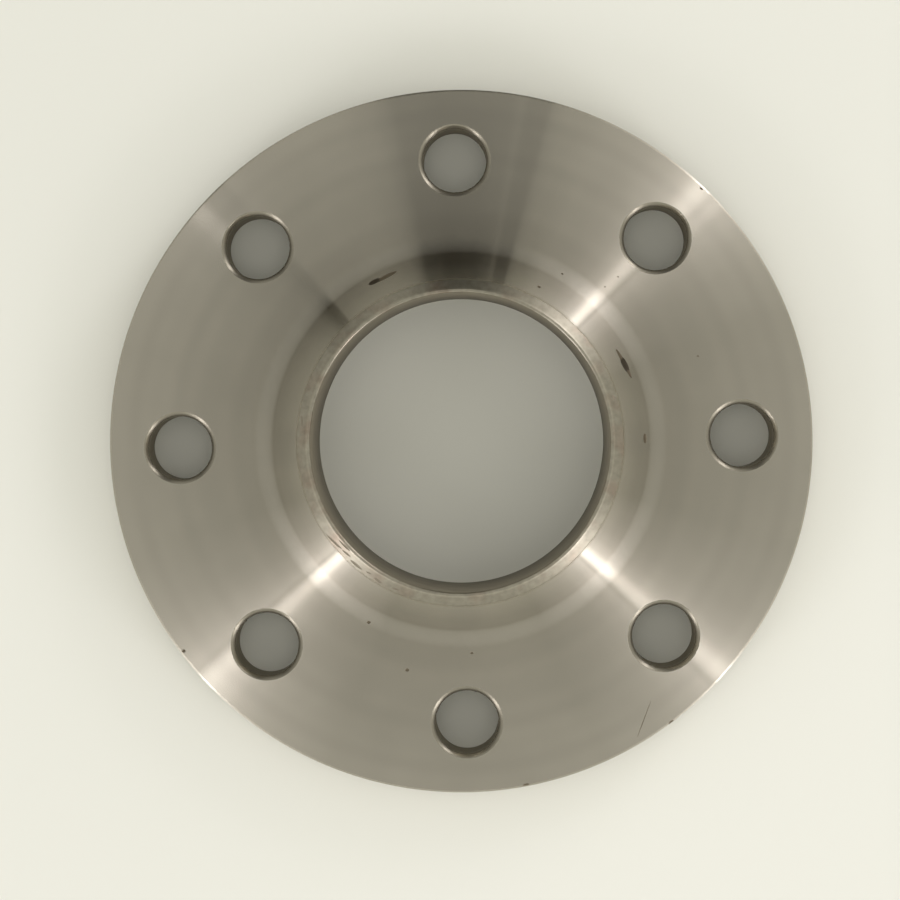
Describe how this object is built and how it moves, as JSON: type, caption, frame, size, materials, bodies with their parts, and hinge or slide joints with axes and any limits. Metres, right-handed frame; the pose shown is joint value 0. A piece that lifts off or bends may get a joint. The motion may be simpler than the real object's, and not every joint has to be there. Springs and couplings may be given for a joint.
{
  "type": "weld neck flange",
  "caption": "Round raised-face pipe flange with bolt holes and a tapered hub whose bevelled neck is butt-welded to a pipe.",
  "frame": {"origin": "centre of the raised gasket face, on the flange's axis", "axes": "+Z along the bore from the raised face to the weld end; the first bolt hole is on +X"},
  "size_m": [0.2, 0.2, 0.05],
  "materials": {
    "turned_steel": "satin, lathe-turned with fine circular tool marks"
  },
  "bodies": {
    "root": {"weld_neck_flange": "turned_steel"}
  },
  "joints": []
}
